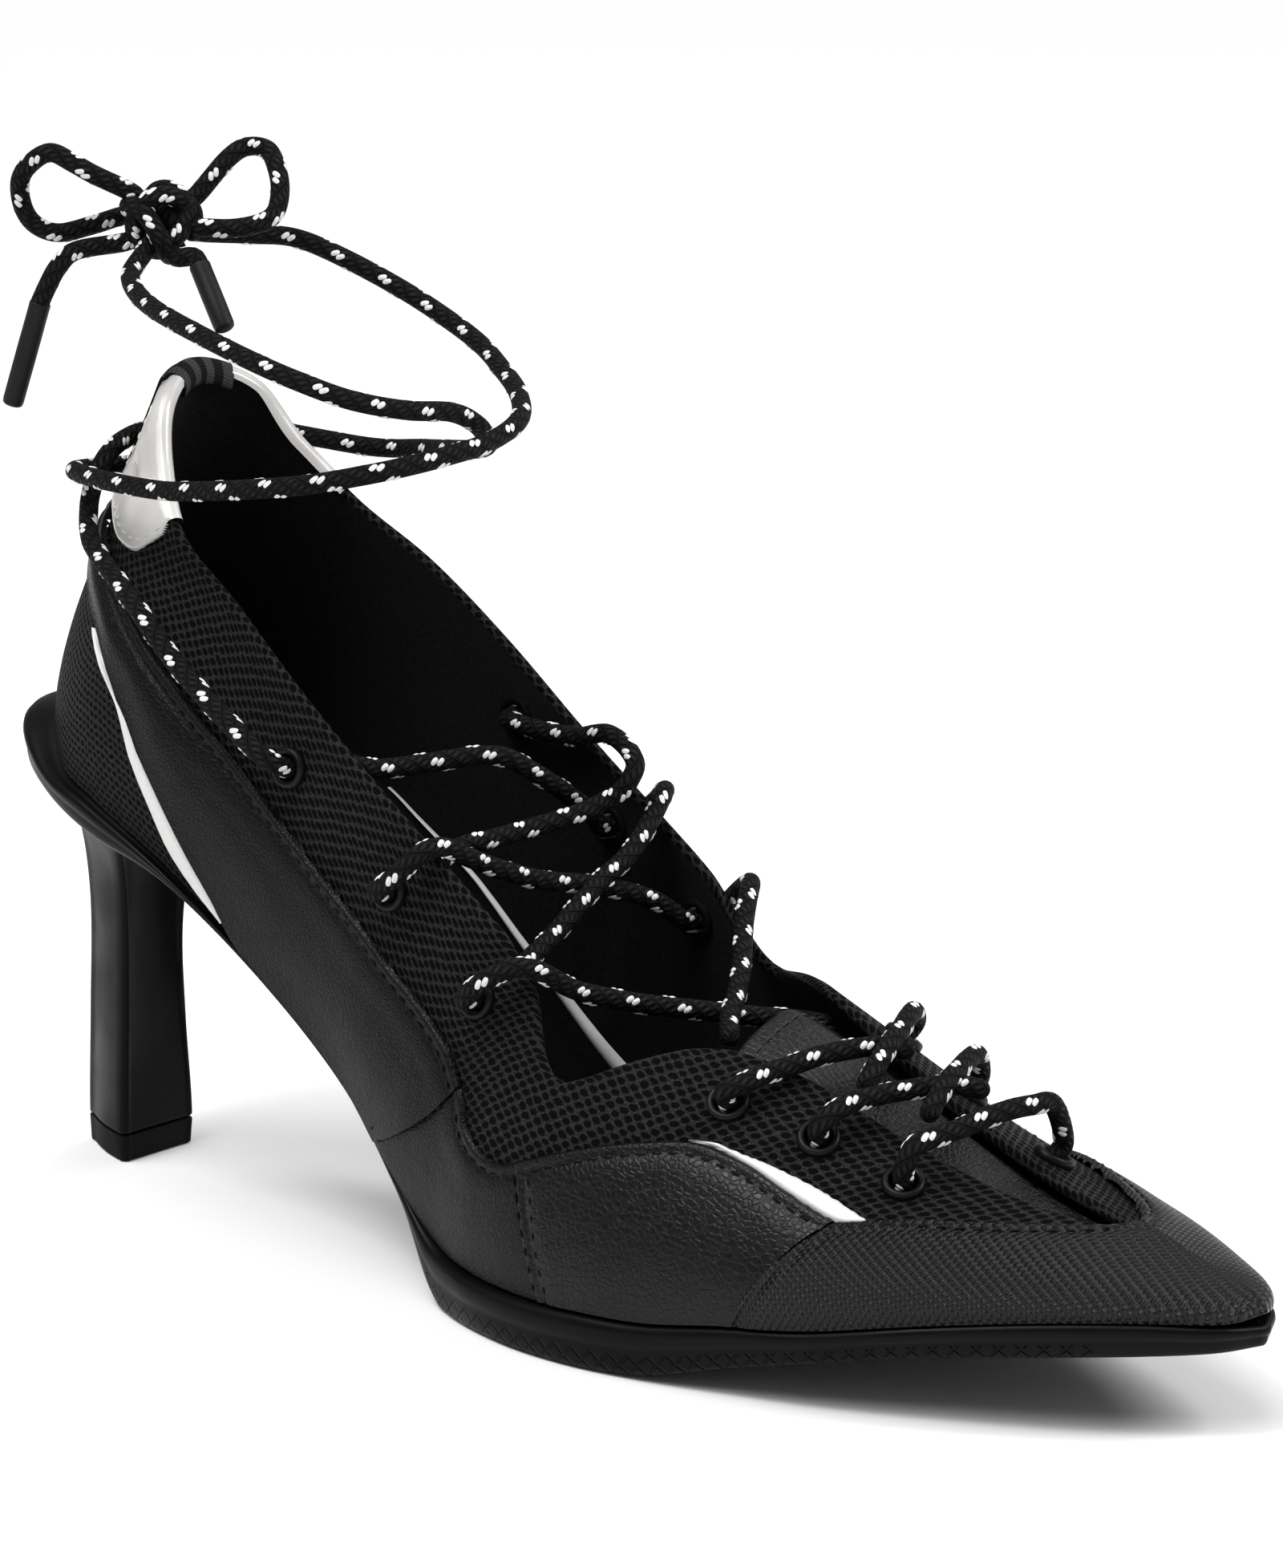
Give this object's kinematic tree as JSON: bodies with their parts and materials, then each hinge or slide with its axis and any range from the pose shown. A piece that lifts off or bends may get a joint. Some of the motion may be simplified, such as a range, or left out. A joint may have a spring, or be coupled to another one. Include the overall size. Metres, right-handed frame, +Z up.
{
  "type": "lace up heel",
  "caption": "Black pointed high heel pump with side lacing, an ankle tie with a bow, white patent accents and a rubber sole.",
  "frame": {"origin": "centre of the heel's top lift on the floor", "axes": "+X towards the toe, +Z up, -Y towards the outer side of the foot"},
  "size_m": [0.2359, 0.0754, 0.1667],
  "materials": {
    "sole_rubber": "satin black",
    "heel_block": "matte black",
    "top_lift_rubber": "matte black",
    "upper_mesh": "black spacer mesh",
    "insole_lining": "black felt",
    "tongue_leather": "satin black, lightly grained",
    "band_leather": "smooth satin black",
    "grained_leather": "pebbled black",
    "toe_cap_leather": "black, fine diagonal emboss",
    "white_patent": "glossy white patent",
    "striped_ribbon": "black and dark grey woven stripes",
    "eyelet_metal": "matte black",
    "aglet_plastic": "dark grey",
    "lace_braid": "black braid with pale flecks"
  },
  "bodies": {
    "root": {"aglet_left": "aglet_plastic", "aglet_right": "aglet_plastic", "ankle_tie_inner": "lace_braid", "ankle_tie_outer": "lace_braid", "bow_knot": "lace_braid", "bow_loop_left": "lace_braid", "bow_loop_right": "lace_braid", "collar_tab_inner": "white_patent", "collar_tab_outer": "white_patent", "eyelet_inner_1": "eyelet_metal", "eyelet_inner_2": "eyelet_metal", "eyelet_inner_3": "eyelet_metal", "eyelet_inner_4": "eyelet_metal", "eyelet_inner_5": "eyelet_metal", "eyelet_inner_6": "eyelet_metal", "eyelet_outer_1": "eyelet_metal", "eyelet_outer_2": "eyelet_metal", "eyelet_outer_3": "eyelet_metal", "eyelet_outer_4": "eyelet_metal", "eyelet_outer_5": "eyelet_metal", "eyelet_outer_6": "eyelet_metal", "forefoot_panel_inner": "grained_leather", "forefoot_panel_outer": "grained_leather", "front_accent_inner": "white_patent", "front_accent_outer": "white_patent", "heel": "heel_block", "heel_top_lift": "top_lift_rubber", "insole": "insole_lining", "lace_bar_front": "lace_braid", "lace_crossing_2": "lace_braid", "lace_crossing_3": "lace_braid", "lace_crossing_4": "lace_braid", "lace_crossing_5": "lace_braid", "lace_end_left": "lace_braid", "lace_end_right": "lace_braid", "lace_strand_inner_1": "lace_braid", "lace_strand_outer_1": "lace_braid", "outsole": "sole_rubber", "pull_ribbon": "striped_ribbon", "rear_accent_inner": "white_patent", "rear_accent_outer": "white_patent", "side_band_inner": "band_leather", "side_band_outer": "band_leather", "toe_cap": "toe_cap_leather", "tongue": "tongue_leather", "upper": "upper_mesh"}
  },
  "joints": []
}
